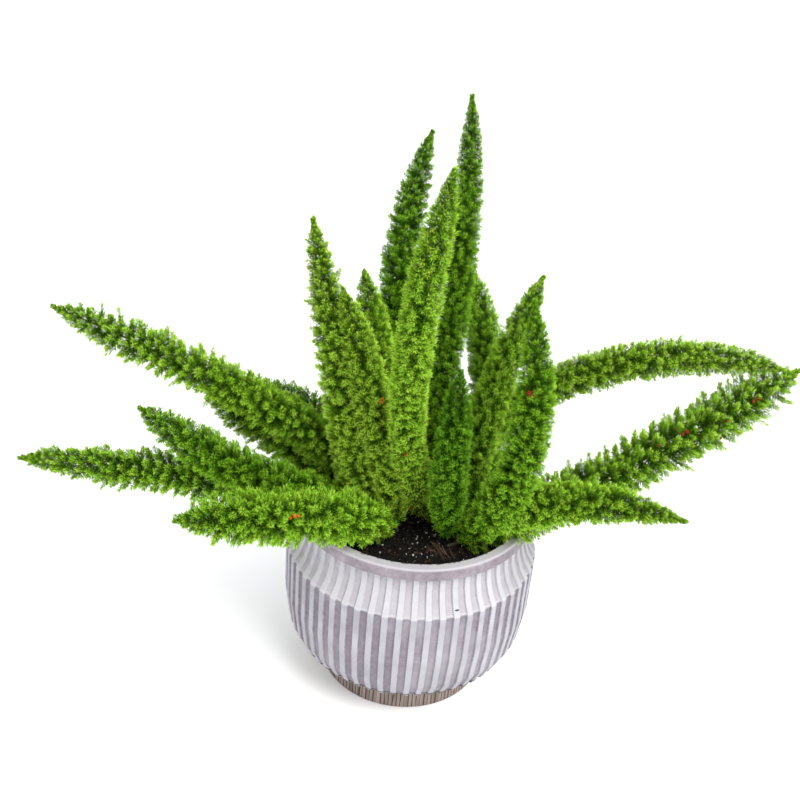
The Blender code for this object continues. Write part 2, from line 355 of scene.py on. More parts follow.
def tube_points(centres, first, second, radii, sides):
    """Points of n tubes: centres and side vectors (n, rings, 3), radii (n, rings)."""
    angles = np.arange(sides) * math.tau / sides
    ring = (
        first[:, :, None] * np.cos(angles)[:, None] + second[:, :, None] * np.sin(angles)[:, None]
    ) * radii[:, :, None, None]
    body = (centres[:, :, None] + ring).reshape(len(centres), -1, 3)
    return np.concatenate([body, centres[:, :1], centres[:, -1:]], axis=1)


# ---------------------------------------------------------------- foliage

# Tones along Shade x: straw stem, green stem, dead needle, then the greens from deep to yellowish.
FOLIAGE_TONES = [
    (0.00, (0.055, 0.045, 0.022)),
    (0.06, (0.15, 0.20, 0.035)),
    (0.10, (0.17, 0.075, 0.02)),
    (0.15, (0.26, 0.13, 0.03)),
    (0.20, (0.115, 0.316, 0.013)),
    (0.50, (0.245, 0.530, 0.021)),
    (0.80, (0.385, 0.720, 0.038)),
    (1.00, (0.530, 0.820, 0.062)),
]
# Painted shade and light along Shade y: dark deep inside a plume, full colour further out, and a painted
# highlight at the outermost needle tips.
FOLIAGE_PAINTED_SHADE_AND_LIGHT = [(0.0, (0.06, 0.11, 0.05)), (0.42, (0.26, 0.36, 0.22)), (0.80, 1.0), (1.0, (1.25, 1.2, 2.2))]
GREEN_START = 0.20
DEAD_TONE = 0.125


def half_width(places, length, widest, taper):
    """A plume's half-width in mm: it fills out above the bare stem and narrows evenly to its tip."""
    filled = np.clip((places - LEAFLESS) / min(FILL_LENGTH, 0.4 * length), 0.0, 1.0)
    shape = 0.55 + 0.45 * np.sin(filled * math.pi / 2)
    return 1.08 * widest * shape * (1.0 - np.exp(-np.maximum(length - places, 0.0) / taper))


def side_branches(line, looks):
    """Where the side branches start, how long they are and how they curve. Rows, one for each branch."""
    widest, taper, ragged, _, dense, tiered = looks
    length = line.length
    places = np.linspace(LEAFLESS, length - 1.0, 2000)
    width = half_width(places, length, widest, taper)
    rate = dense * math.tau * np.maximum(width, 0.75 * widest) / CLUSTER**2
    passed = np.concatenate([[0.0], np.cumsum((rate[1:] + rate[:-1]) / 2 * np.diff(places))])
    count = int(passed[-1])
    start = np.interp(np.arange(count) + RNG.uniform(0.0, 0.8, count), passed, places)
    pull = tiered * (1.0 - np.exp(-(length - start) / 60.0))
    start = start + pull * (TIER * np.round(start / TIER) - start)
    turn = np.arange(count) * GOLDEN + RNG.normal(0.0, 0.18, count)
    to_tip = length - start
    lean = np.radians(22.0 + 54.0 * (1.0 - np.exp(-to_tip / (0.7 * taper))) + RNG.normal(0.0, 5.0, count))
    lean = np.minimum(lean, math.radians(84.0))
    reach = half_width(start + 0.35 * widest * np.exp(-to_tip / taper), length, widest, taper)
    reach = np.maximum(reach, 1.2) / np.sin(lean)
    reach = reach * (1.0 + ragged * RNG.uniform(-1.0, 0.75, count))
    longer = 1.0 + LONGER * tiered * start / length
    reach = np.where(RNG.random(count) < LONG_SHARE, reach * longer, reach)
    reach = np.minimum(reach, to_tip / np.cos(lean) + 1.0)
    return start, turn, lean, reach


class Branches:
    """The side branches of one plume. Each leaves the stem at its own place and bends toward the tip."""

    def __init__(self, line, looks):
        self.start, turn, lean, self.reach = side_branches(line, looks)
        self.root, way, side, other = line.at(self.start)
        outward = side * np.cos(turn)[:, None] + other * np.sin(turn)[:, None]
        self.first, self.last = (
            way * np.cos(angle)[:, None] + outward * np.sin(angle)[:, None]
            for angle in (lean + BRANCH_BENDS[0], lean - BRANCH_BENDS[1])
        )
        self.own_tone = RNG.normal(0.0, 0.10, len(self.start))

    def at(self, owner, share):
        """Points on the branches that owner picks, at a share of their length."""
        bent = self.first[owner] * (share - share**2 / 2) + self.last[owner] * share**2 / 2
        return self.root[owner] + self.reach[owner, None] / 1000 * bent

    def way(self, owner, share):
        """The directions of the same branches there."""
        return unit(self.first[owner] * (1 - share) + self.last[owner] * share)


def grow_stalks(pile, branches):
    """The side branches' stalks: thin three-sided tubes."""
    every = np.arange(len(branches.start))
    shares = (0.0, 0.97)
    spots = np.stack([branches.at(every, share) for share in shares], axis=1)
    one, two = across(np.stack([branches.way(every, share) for share in shares], axis=1))
    radii = np.broadcast_to(np.array(STALK_RADII), spots.shape[:2])
    points = tube_points(spots, one, two, radii, 3)
    shades = np.zeros((*points.shape[:2], 2))
    shades[..., 0] = 0.055 + 0.01 * np.linspace(0.0, 1.0, points.shape[1])
    # Painted shade: the stalks are darkened inside the plume.
    shades[..., 1] = 0.45 + 0.03 * np.arange(points.shape[1]) % 0.2
    pile.add(points, tube_faces(2, 3), shades)


def needle_shades(name, line, light, branches, owner, share):
    """Each needle's tone, and its painted shade level: painted shade inside the plume, painted light at its
    outside and near its tip.
    """
    fullness = np.clip(0.80 + 0.20 * branches.reach[owner] / branches.reach[owner].mean(), 0.84, 1.10)
    outness = share * fullness
    tone = light + branches.own_tone[owner] + RNG.normal(0.0, 0.09, len(owner))
    tone = GREEN_START + (1 - GREEN_START) * tone
    tone = np.clip(tone + 0.10 * (share - 0.6), GREEN_START + 0.02, 0.97)
    start = branches.start[owner]
    browned = 0.0
    if name in OLD_BASES:
        browned = np.exp(-np.maximum(start - LEAFLESS, 0.0) / OLD_BASES[name])
    dead = RNG.random(len(owner)) < DEAD_SHARE + BROWNED_SHARE * browned
    tone = np.where(dead, DEAD_TONE, tone)
    # Painted shade and light: darker deep in the plume, lighter out at its edge and near the plume's tip, and
    # each needle lighter towards its own tip.
    level = 0.02 + 0.80 * np.clip(outness, 0.0, 1.0) ** 1.7
    level = level + 0.16 * np.exp(-(line.length - start) / 40.0)
    shades = np.zeros((len(owner), 4, 2))
    shades[..., 0] = tone[:, None] + np.array([0.0, -0.008, 0.008, 0.0])
    shades[..., 1] = np.clip(level[:, None] + np.array([0.0, 0.05, 0.06, 0.16]), 0.0, 0.995)
    return shades


def grow_needles(name, pile, line, looks, branches):
    """The needles: spindles set in a spiral round each side branch."""
    taper, light = looks[1], looks[3]
    size = 0.62 + 0.38 * (1.0 - np.exp(-(line.length - branches.start) / (0.6 * taper)))
    number = np.maximum((branches.reach * 0.9 / NEEDLE_GAP).astype(int), 12)
    owner = np.repeat(np.arange(len(number)), number)
    count = len(owner)
    order = np.arange(count) - np.repeat(np.cumsum(number) - number, number)
    share = 0.10 + 0.90 * ((order + RNG.uniform(0.0, 0.8, count)) / number[owner]) ** 0.85
    share = np.minimum(share, 1.0)
    size = size[owner]
    root = branches.at(owner, share[:, None])
    axis = branches.way(owner, share[:, None])
    one, two = across(axis)
    spin = order * GOLDEN + owner * 2.4 + RNG.normal(0.0, 0.15, count)
    opening = (62.0 - 32.0 * share**3) * (0.35 + 0.65 * (size - 0.62) / 0.38)
    opening = np.radians(opening + RNG.normal(0.0, 7.0, count))
    outer = one * np.cos(spin)[:, None] + two * np.sin(spin)[:, None]
    way = axis * np.cos(opening)[:, None] + outer * np.sin(opening)[:, None]
    long = NEEDLE_LENGTH * size * (1.0 - 0.32 * share**3) * RNG.uniform(0.82, 1.18, count)
    thick = NEEDLE_RADIUS * (0.75 + 0.25 * size) * RNG.uniform(0.85, 1.15, count)
    long, thick = long[:, None] / 1000, thick[:, None] / 1000
    one, two = across(way)
    middle = root + way * long * 0.45 + two * 0.6 * thick
    points = np.stack([root, middle - one * thick, middle + one * thick, root + way * long], axis=1)
    faces = np.array([(0, 1, 2), (3, 2, 1), (0, 3, 1), (0, 2, 3)])
    pile.add(points, faces, needle_shades(name, line, light, branches, owner, share))


def grow_stem(pile, line):
    """The main stem: a round tube from just under the soil to the tip."""
    places = np.concatenate([[-4.0], np.linspace(0.0, line.length - 1.5, 60)])
    point, way, side, other = line.at(np.maximum(places, 0.0))
    point[0] = point[0] - way[0] * 0.004
    share = np.maximum(places, 0.0) / line.length
    radii = STEM_FOOT_RADIUS + (STEM_TIP_RADIUS - STEM_FOOT_RADIUS) * share
    radii = radii * (1.0 + 0.06 * np.sin(places * 0.9))
    points = tube_points(point[None], side[None], other[None], radii[None] / 1000, 8)
    shades = np.zeros((*points.shape[:2], 2))
    rows = np.concatenate([np.repeat(np.arange(61), 8), [0, 60]]) / 60
    shades[0, :, 0] = np.clip(0.03 * rows + 0.01 * (np.arange(len(rows)) % 2), 0.0, 0.065)
    # Painted shade: the stem grows darker as it rises into the foliage.
    shades[0, :, 1] = 0.55 + 0.35 * (1 - rows)
    pile.add(points, tube_faces(61, 8), shades)


def build_plumes():
    """Every plume: its stem, side branches and needles, in one piece for each CAD plume."""
    material = toned_material("foxtail_needles", FOLIAGE_TONES, FOLIAGE_PAINTED_SHADE_AND_LIGHT, 0.60, 0.06)
    for name, (row, looks) in PLUMES.items():
        line = Line(*row)
        pile = Pile()
        grow_stem(pile, line)
        branches = Branches(line, looks)
        grow_stalks(pile, branches)
        grow_needles(name, pile, line, looks, branches)
        piece = pile.piece(name + "_foliage", material)
        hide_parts(name)
        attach(piece, "root")


# ---------------------------------------------------------------- pot


RIB_TONES = [(0.30, (0.28, 0.27, 0.295)), (0.55, (0.35, 0.345, 0.38)), (0.75, (0.41, 0.40, 0.435))]
GROOVE_TONES = [(0.30, (0.155, 0.135, 0.16)), (0.60, (0.215, 0.19, 0.225)), (0.78, (0.29, 0.265, 0.30))]
BAND_TONES = [(0.30, (0.130, 0.108, 0.120)), (0.52, (0.235, 0.205, 0.235)), (0.75, (0.37, 0.335, 0.375))]
FOOT_TONES = [
    (0.18, (0.040, 0.028, 0.024)),
    (0.36, (0.15, 0.115, 0.10)),
    (0.52, (0.24, 0.195, 0.175)),
    (0.75, (0.34, 0.285, 0.26)),
]
BODY_WASH = (0.36, 0.345, 0.375)
SHOULDER_PAINTED_LIGHT = (0.50, 0.485, 0.515)
RIDGE_PAINTED_HIGHLIGHT = (0.46, 0.45, 0.48)
LIP_PAINTED_HIGHLIGHT = (0.44, 0.415, 0.455)
RIB_END_PAINTED_SHADOW = (0.045, 0.036, 0.034)
NICK_STAIN = (0.03, 0.025, 0.024)
INSIDE_LOW = (0.10, 0.08, 0.078)
INSIDE_HIGH = (0.31, 0.275, 0.31)
CHIP_STAIN = (0.085, 0.070, 0.068)
SPECK_STAIN = (0.16, 0.12, 0.12)


class Paint:
    """The nodes of one paint, with short calls for sums, noise and layers of colour."""

    def __init__(self, nodes, link):
        self.nodes, self.link = nodes, link
        self.place = nodes.new("ShaderNodeNewGeometry").outputs["Position"]
        split = nodes.new("ShaderNodeSeparateXYZ")
        link(self.place, split.inputs["Vector"])
        self.x, self.y, self.z = (split.outputs[axis] for axis in "XYZ")
        self.cloudy = self.noise(26.0, 4.0, 0.6)
        self.grainy = self.noise(420.0, 3.0, 0.7)
        self.speckle = self.noise(150.0, 5.0, 0.7)

    def calc(self, operation, *values):
        return math_node(self.nodes, self.link, operation, *values)

    def times(self, value, factor):
        return self.calc("MULTIPLY", value, factor)

    def noise(self, scale, detail, roughness):
        return noise_node(self.nodes, self.link, self.place, scale, detail, roughness)

    def between(self, value, low, high):
        return step_between(self.nodes, self.link, value, low, high)

    def near(self, distance, outer, inner):
        """1 where a distance is under inner, 0 where it is over outer, and smooth between."""
        return self.between(self.times(distance, -1.0), -outer, -inner)

    def stray(self, value, size):
        """A value that strays by the speckle noise."""
        return self.calc("ADD", value, self.times(self.calc("SUBTRACT", self.speckle, 0.5), size))

    def vector(self, operation, first, second=None):
        """A Vector Math node of a socket and, where it needs one, a constant."""
        node = self.nodes.new("ShaderNodeVectorMath")
        node.operation = operation
        self.link(first, node.inputs[0])
        if second is not None:
            node.inputs[1].default_value = second
        return node

    def tones(self, stops, value):
        """A colour looked up in a ramp."""
        node = ramp(self.nodes, stops)
        self.link(value, node.inputs["Fac"])
        return node.outputs["Color"]

    def layer(self, share, under, over):
        return mix(self.nodes, self.link, share, under, over)


def rib_paint(paint, angle):
    """Pale ribs and mauve grooves, washed paler in clouds, with painted light above the ridge and a painted
    highlight line along it.
    """
    wave = paint.calc("COSINE", paint.times(angle, float(RIB_COUNT)))
    rib = paint.between(paint.stray(wave, 0.45), -0.02, 0.34)
    body = paint.layer(rib, paint.tones(GROOVE_TONES, paint.speckle), paint.tones(RIB_TONES, paint.cloudy))
    washed = paint.between(paint.noise(9.0, 3.0, 0.6), 0.46, 0.66)
    body = paint.layer(paint.times(washed, 0.42), body, BODY_WASH)
    height = paint.stray(paint.z, 0.002)
    # Painted light: the upward-facing part above the ridge is paler.
    lit_shoulder = paint.between(height, RIDGE_HEIGHT - 0.0008, RIDGE_HEIGHT + 0.0008)
    body = paint.layer(paint.times(lit_shoulder, 0.50), body, SHOULDER_PAINTED_LIGHT)
    # Painted highlight: a pale line along the ridge.
    from_ridge = paint.calc("ABSOLUTE", paint.calc("SUBTRACT", height, RIDGE_HEIGHT))
    ridge_highlight = paint.near(from_ridge, 0.0022, 0.0007)
    return paint.layer(paint.times(ridge_highlight, 0.55), body, RIDGE_PAINTED_HIGHLIGHT)


def band_paint(paint):
    """The lilac rim band, with a painted highlight along its top edge."""
    patches = paint.calc("ADD", paint.times(paint.cloudy, 0.6), paint.times(paint.speckle, 0.4))
    # Painted highlight: the top few millimetres of the band are paler.
    lit_lip = paint.between(paint.z, POT_HEIGHT - 0.0035, POT_HEIGHT - 0.0008)
    return paint.layer(paint.times(lit_lip, 0.75), paint.tones(BAND_TONES, patches), LIP_PAINTED_HIGHLIGHT)


def foot_paint(paint, angle):
    """The stained brown foot with fine upright lines."""
    tall = paint.vector("MULTIPLY", paint.place, (1.0, 1.0, 0.06)).outputs["Vector"]
    streaks = noise_node(paint.nodes, paint.link, tall, 230.0, 2.0, 0.5)
    turns = paint.calc("ADD", paint.times(angle, float(FOOT_LINES)), paint.times(streaks, 5.0))
    lines = paint.between(paint.calc("COSINE", turns), 0.45, 0.90)
    return paint.tones(FOOT_TONES, paint.calc("SUBTRACT", streaks, paint.times(lines, 0.30)))


def paint_rib_end_shadow(paint, colour):
    """A ragged painted shadow line where the broken ribs stop, under the body's overhang above the foot."""
    away = paint.stray(paint.calc("SUBTRACT", paint.z, BODY_END_HEIGHT), -0.020)
    away = paint.calc("ABSOLUTE", paint.calc("SUBTRACT", away, 0.0020))
    # Painted shadow: a dark line where the ribs stop above the foot.
    rib_end_shadow = paint.near(away, 0.0030, 0.0008)
    return paint.layer(paint.times(rib_end_shadow, 0.88), colour, RIB_END_PAINTED_SHADOW)


def add_nick(paint, colour):
    """One flat dark nick just above the ridge."""
    away = paint.vector("SUBTRACT", paint.place, NICK_PLACE)
    away = paint.vector("MULTIPLY", away.outputs["Vector"], (1.0, 1.0, 2.6))
    away = paint.vector("LENGTH", away.outputs["Vector"])
    away = paint.calc("ADD", away.outputs["Value"], paint.times(paint.speckle, 0.0020))
    nicked = paint.calc("LESS_THAN", away, NICK_SIZE)
    return paint.layer(paint.times(nicked, 0.9), colour, NICK_STAIN)


def paint_inside(paint, colour, radius):
    """The inside: plain washed body, darker towards the soil."""
    inside = paint.calc("LESS_THAN", radius, MOUTH_RADIUS + 0.0008)
    above = paint.between(paint.z, SOIL_LEVEL - 0.002, SOIL_LEVEL + 0.014)
    in_mouth = paint.calc("MULTIPLY", inside, paint.calc("GREATER_THAN", paint.z, FOOT_TOP))
    return paint.layer(in_mouth, colour, paint.layer(above, INSIDE_LOW, INSIDE_HIGH))


def chip_mouth(paint, colour, radius):
    """Chips along the mouth's edge."""
    worn = paint.calc("SUBTRACT", paint.noise(120.0, 4.0, 0.7), 0.50)
    to_edge = paint.calc("ABSOLUTE", paint.calc("SUBTRACT", radius, MOUTH_RADIUS + 0.0006))
    chips = paint.between(paint.calc("SUBTRACT", paint.times(worn, 0.020), to_edge), -0.0002, 0.0005)
    chips = paint.calc("MULTIPLY", chips, paint.calc("GREATER_THAN", paint.z, POT_HEIGHT - 0.004))
    return paint.layer(paint.times(chips, 0.85), colour, CHIP_STAIN)


def paint_pot():
    """Lime-washed ceramic: pale raised ribs, mauve grooves, a lilac band and a stained brown foot."""
    made, nodes, link, shader = new_material("limewashed_ceramic_detail")
    paint = Paint(nodes, link)
    angle = paint.calc("ARCTAN2", paint.y, paint.x)
    squares = (paint.calc("MULTIPLY", side, side) for side in (paint.x, paint.y))
    radius = paint.calc("SQRT", paint.calc("ADD", *squares))
    band_foot = POT_HEIGHT - BAND_HEIGHT
    on_band = paint.between(paint.z, band_foot - 0.0012, band_foot)
    colour = paint.layer(on_band, rib_paint(paint, angle), band_paint(paint))
    on_body = paint.between(paint.z, BODY_END_HEIGHT - 0.0022, BODY_END_HEIGHT - 0.0006)
    colour = paint.layer(on_body, foot_paint(paint, angle), colour)
    colour = paint_rib_end_shadow(paint, colour)
    colour = add_nick(paint, colour)
    colour = paint_inside(paint, colour, radius)
    colour = chip_mouth(paint, colour, radius)
    specks = paint.between(paint.grainy, 0.66, 0.74)
    colour = paint.layer(paint.times(specks, 0.35), colour, SPECK_STAIN)
    link(colour, shader.inputs["Base Color"])
    shader.inputs["Roughness"].default_value = 0.72
    shader.inputs["Specular IOR Level"].default_value = 0.25
    height = paint.calc("ADD", paint.times(paint.speckle, 0.7), paint.times(paint.grainy, 0.3))
    bump(nodes, link, shader, height, 0.35, 0.0008)
    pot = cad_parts["pot"]
    pot.data.materials.clear()
    pot.data.materials.append(made)


# ---------------------------------------------------------------- soil and what lies on it


SOIL_TONES = [
    (0.33, (0.0010, 0.0008, 0.0007)),
    (0.5, (0.0030, 0.0021, 0.0015)),
    (0.66, (0.020, 0.014, 0.009)),
]
# The hidden side of the soil: radius and height of each ring, from below the neck to the floor
SOIL_FOOT = FLOOR + SOIL_GAP
SOIL_SIDE = [(0.127, 0.165), (0.128, 0.110), (0.119, 0.068), (0.105, 0.052), (0.085, 0.038)]
SOIL_SIDE += [(0.0785, SOIL_FOOT)]
SOIL_AROUND = 200
SOIL_RINGS = 70


def soil_height(x, y):
    """The height of the soil's surface: a low dome with lumps of three sizes."""
    radius = math.hypot(x, y)
    dome = 0.004 * (1 - (radius / 0.115) ** 2)
    lump = 0.0020 * noise.noise(Vector((x * 75, y * 75, 0.3)))
    lump += 0.0011 * noise.noise(Vector((x * 210, y * 210, 3.1)))
    lump += 0.0006 * noise.noise(Vector((x * 520, y * 520, 7.7)))
    return SOIL_LEVEL + dome - 0.0015 + lump


def soil_material():
    """Near-black peat with fine brown grains."""
    made, nodes, link, shader = new_material("dark_potting_soil")
    place = nodes.new("ShaderNodeNewGeometry").outputs["Position"]
    fine = noise_node(nodes, link, place, 380.0, 6.0, 0.75)
    coarse = noise_node(nodes, link, place, 90.0, 4.0, 0.6)
    tone = ramp(nodes, SOIL_TONES)
    link(fine, tone.inputs["Fac"])
    shade = ramp(nodes, [(0.3, 0.55), (0.7, 1.0)])
    link(coarse, shade.inputs["Fac"])
    colour = mix(nodes, link, 1.0, tone.outputs["Color"], shade.outputs["Color"], "MULTIPLY")
    link(colour, shader.inputs["Base Color"])
    shader.inputs["Roughness"].default_value = 0.9
    shader.inputs["Specular IOR Level"].default_value = 0.2
    bump(nodes, link, shader, fine, 0.8, 0.0012)
    return made


def build_soil():
    """The body of potting soil: a rough surface of many rings, and the plain side that fills the pot."""
    around, rings = SOIL_AROUND, SOIL_RINGS
    edge = NECK_RADIUS - WALL - SOIL_GAP
    rows = [(edge * (ring + 1) / rings, None) for ring in range(rings)] + SOIL_SIDE
    points = [(0.0, 0.0, soil_height(0.0, 0.0))]
    for radius, height in rows:
        for step in range(around):
            angle = step * math.tau / around
            x, y = radius * math.cos(angle), radius * math.sin(angle)
            points.append((x, y, soil_height(x, y) if height is None else height))
    points.append((0.0, 0.0, SOIL_FOOT))
    faces = []
    for step in range(around):
        following = (step + 1) % around
        faces.append((0, 1 + step, 1 + following))
        for row in range(len(rows) - 1):
            a, b = 1 + row * around + step, 1 + row * around + following
            faces += [(a, a + around, b + around), (a, b + around, b)]
        last = 1 + (len(rows) - 1) * around
        faces.append((len(points) - 1, last + following, last + step))
    piece = mesh_piece("potting_soil_body", np.array(points), np.array(faces), None, soil_material())
    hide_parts("soil")
    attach(piece, "root")


def lump_shape():
    """A unit icosahedron."""
    gold = (1 + math.sqrt(5)) / 2
    corners = []
    for a in (-1, 1):
        for b in (-gold, gold):
            corners += [(0, a, b), (a, b, 0), (b, 0, a)]
    corners = unit(np.array(corners, dtype=float))
    near = np.linalg.norm(corners[:, None] - corners[None], axis=2)
    edge = near[near > 0.01].min() * 1.01
    faces = []
    for a in range(12):
        for b in range(a + 1, 12):
            for c in range(b + 1, 12):
                if max(near[a, b], near[b, c], near[a, c]) < edge:
                    flip = np.dot(np.cross(corners[b] - corners[a], corners[c] - corners[a]), corners[a]) < 0
                    faces.append((a, c, b) if flip else (a, b, c))
    return corners, np.array(faces)


def scatter(name, material, number, radius_range, size_range, squash, sunk, turns=(0.0, 360.0)):
    """Irregular lumps lying on the soil at random, between two radii and two directions."""
    corners, faces = lump_shape()
    pile = Pile()
    low, high = radius_range
    radius = np.sqrt(RNG.uniform(low**2, high**2, number))
    angle = np.radians(RNG.uniform(*turns, number))
    size = size_range[0] + (size_range[1] - size_range[0]) * RNG.random(number) ** 2.2
    stretch = [RNG.uniform(0.75, 1.5, number), RNG.uniform(0.6, 1.0, number), RNG.uniform(*squash, number)]
    stretch = np.stack(stretch, axis=1)
    bodies = corners[None] * stretch[:, None] * (1.0 + RNG.normal(0.0, 0.16, (number, 12, 1)))
    turn, tilt = RNG.uniform(0.0, math.tau, number), RNG.normal(0.0, 0.5, number)
    points = np.zeros((number, 12, 3))
    for index in range(number):
        spin = Matrix.Rotation(turn[index], 3, "Z") @ Matrix.Rotation(tilt[index], 3, "X")
        x, y = radius[index] * math.cos(angle[index]), radius[index] * math.sin(angle[index])
        body = bodies[index] @ np.array(spin).T * size[index]
        points[index] = body + np.array([x, y, soil_height(x, y) + size[index] * sunk])
    shades = np.zeros((number, 12, 2))
    shades[..., 0] = RNG.uniform(0.03, 0.97, number)[:, None] + RNG.normal(0.0, 0.01, (number, 12))
    shades[..., 1] = RNG.uniform(0.4, 1.0, (number, 12))
    shades = np.clip(shades, 0.005, 0.995)
    pile.add(points, faces, shades)
    piece = pile.piece(name, material)
    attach(piece, "root")


def build_crumbs():
    """Crumbs of bark and peat, and white perlite, most of it by the crown at the front."""
    bark_tones = [
        (0.0, (0.0015, 0.001, 0.0008)),
        (0.6, (0.006, 0.004, 0.003)),
        (0.9, (0.030, 0.017, 0.011)),
        (1.0, (0.10, 0.062, 0.038)),
    ]
    bark = toned_material("bark_crumbs", bark_tones, [(0.4, 0.6), (1.0, 1.0)], 0.85, 0.25)
    scatter("bark_crumbs", bark, 2600, (0.004, 0.112), (0.0006, 0.0030), (0.35, 0.8), 0.25)
    white_tones = [(0.0, (0.20, 0.19, 0.17)), (0.5, (0.46, 0.45, 0.42)), (1.0, (0.76, 0.75, 0.73))]
    white = toned_material("perlite_grains", white_tones, [(0.4, 0.82), (1.0, 1.0)], 0.8, 0.3)
    scatter("perlite_grains", white, 230, (0.010, 0.111), (0.0004, 0.0016), (0.7, 1.0), 0.30)
    front = (258.0, 292.0)
    scatter("perlite_by_crown", white, 42, (0.036, 0.088), (0.0004, 0.0012), (0.7, 1.0), 0.30, front)


def build_litter():
    """Shed brown needles and husks: slim three-sided spindles lying on the soil."""
    tones = [
        (0.0, (0.03, 0.012, 0.007)),
        (0.5, (0.08, 0.038, 0.018)),
        (0.93, (0.14, 0.075, 0.035)),
        (1.0, (0.32, 0.20, 0.09)),
    ]
    straw = toned_material("dry_litter", tones, [(0.4, 0.65), (1.0, 1.0)], 0.75, 0.3)
    number, widest = 420, 0.108
    radius = np.sqrt(RNG.uniform(0.0, widest**2, number))
    angle = RNG.uniform(0.0, math.tau, number)
    x, y = radius * np.cos(angle), radius * np.sin(angle)
    rise = np.array([soil_height(a, b) for a, b in zip(x, y)])
    start = np.stack([x, y, rise + 0.0009], axis=1)
    way = heading(RNG.uniform(0.0, 360.0, number), RNG.normal(0.0, 14.0, number))
    side, other = across(way)
    long = RNG.uniform(0.003, 0.009, number)[:, None]
    thick = RNG.uniform(0.0003, 0.0006, number)[:, None]
    points = [start - way * long / 2]
    for corner in range(3):
        turn = corner * math.tau / 3
        points.append(start + (side * math.cos(turn) + other * math.sin(turn)) * thick)
    points.append(start + way * long / 2)
    points = np.stack(points, axis=1)
    shades = np.zeros((number, 5, 2))
    shades[..., 0] = RNG.uniform(0.02, 0.98, number)[:, None] + np.array([0.0, -0.008, 0.008, 0.0, 0.0])
    shades[..., 1] = np.array([0.45, 0.7, 0.75, 0.8, 0.98])
    faces = np.array([(0, 2, 1), (0, 3, 2), (0, 1, 3), (4, 1, 2), (4, 2, 3), (4, 3, 1)])
    pile = Pile()
    pile.add(points, faces, np.clip(shades, 0.005, 0.995))
    piece = pile.piece("dry_litter", straw)
    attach(piece, "root")


def build_bare_stems():
    """Old stems that shed their foliage: thin straw tubes with a scar at every joint."""
    tones = [(0.0, (0.20, 0.12, 0.05)), (0.3, (0.42, 0.31, 0.14)), (1.0, (0.56, 0.46, 0.24))]
    straw = toned_material("old_straw_stem", tones, [(0.0, 0.5), (1.0, 1.0)], 0.6, 0.35)
    for name, row in BARE_STEMS.items():
        line = Line(*row)
        pile = Pile()
        places = np.linspace(0.0, line.length, 90)
        point, way, side, other = line.at(places)
        point[0] = point[0] - way[0] * 0.004
        scar = np.exp(-(((places % 9.0) - 4.5) / 0.7) ** 2)
        radii = BARE_STEM_RADIUS * (1.0 - 0.35 * places / line.length) * (1.0 + 0.22 * scar)
        points = tube_points(point[None], side[None], other[None], radii[None], 10)
        shades = np.zeros((*points.shape[:2], 2))
        rows = np.concatenate([np.repeat(np.arange(90), 10), [0, 89]])
        shades[0, :, 0] = 0.75 - 0.6 * scar[rows] + 0.01 * (np.arange(len(rows)) % 2)
        # Each stem is darker towards the soil.
        shades[0, :, 1] = 0.5 + 0.45 * rows / 90
        pile.add(points, tube_faces(90, 10), shades)
        piece = pile.piece(name + "_detail", straw)
        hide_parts(name)
        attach(piece, "root")


def grow_twigs(name, material, number, middle, spread, turns, slopes, lengths, thicknesses):
    """Twigs round a middle on the soil (mm). Turns and slopes are a mean and a spread in degrees."""
    pile = Pile()
    shares = np.linspace(0.0, 1.0, 9)
    rows = np.concatenate([np.repeat(np.arange(9), 6), [0, 8]]) / 8
    for _ in range(number):
        x, y = RNG.normal(middle, np.array(spread) / 2)
        lift = soil_height(x / 1000, y / 1000) - SOIL_LEVEL
        length = RNG.uniform(*lengths)
        thick = RNG.uniform(*thicknesses) / 1000
        turn = RNG.normal(turns[0], turns[1] / 2)
        slope = RNG.normal(*slopes)
        swing = RNG.normal(0.0, 25.0)
        line = Line(x, y, turn, swing, slope, slope + RNG.normal(0.0, 12.0), length)
        point, _, side, other = line.at(np.linspace(0.0, length, 9))
        point = point + np.array([0.0, 0.0, lift])
        point[0, 2] -= 0.002
        radii = thick * (1.0 - 0.45 * shares) * RNG.uniform(0.8, 1.2, 9)
        points = tube_points(point[None], side[None], other[None], radii[None], 6)
        shades = np.zeros((*points.shape[:2], 2))
        tone = RNG.uniform(0.1, 0.85) + 0.12 * rows + 0.01 * (np.arange(len(rows)) % 2)
        shades[0, :, 0] = np.clip(tone, 0.02, 0.98)
        # Each twig is darker towards the soil.
        shades[0, :, 1] = 0.2 + 0.75 * rows
        pile.add(points, tube_faces(9, 6), shades)
    piece = pile.piece(name, material)
    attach(piece, "root")


def build_crown():
    """Brown stumps and twigs of the crown between the plumes, and a tuft of old fibres in front of them."""
    tones = [
        (0.0, (0.016, 0.009, 0.006)),
        (0.5, (0.060, 0.034, 0.022)),
        (0.85, (0.14, 0.088, 0.055)),
        (1.0, (0.30, 0.21, 0.12)),
    ]
    brown = toned_material("crown_twigs", tones, [(0.0, 0.45), (1.0, 1.0)], 0.75, 0.25)
    grow_twigs("crown_twigs", brown, 26, (12, -8), (17, 24), (60, 80), (62, 14), (22, 62), (0.5, 1.2))
    grow_twigs("fibre_tuft", brown, 40, (34, -77), (13, 8), (122, 34), (12, 9), (8, 22), (0.28, 0.60))


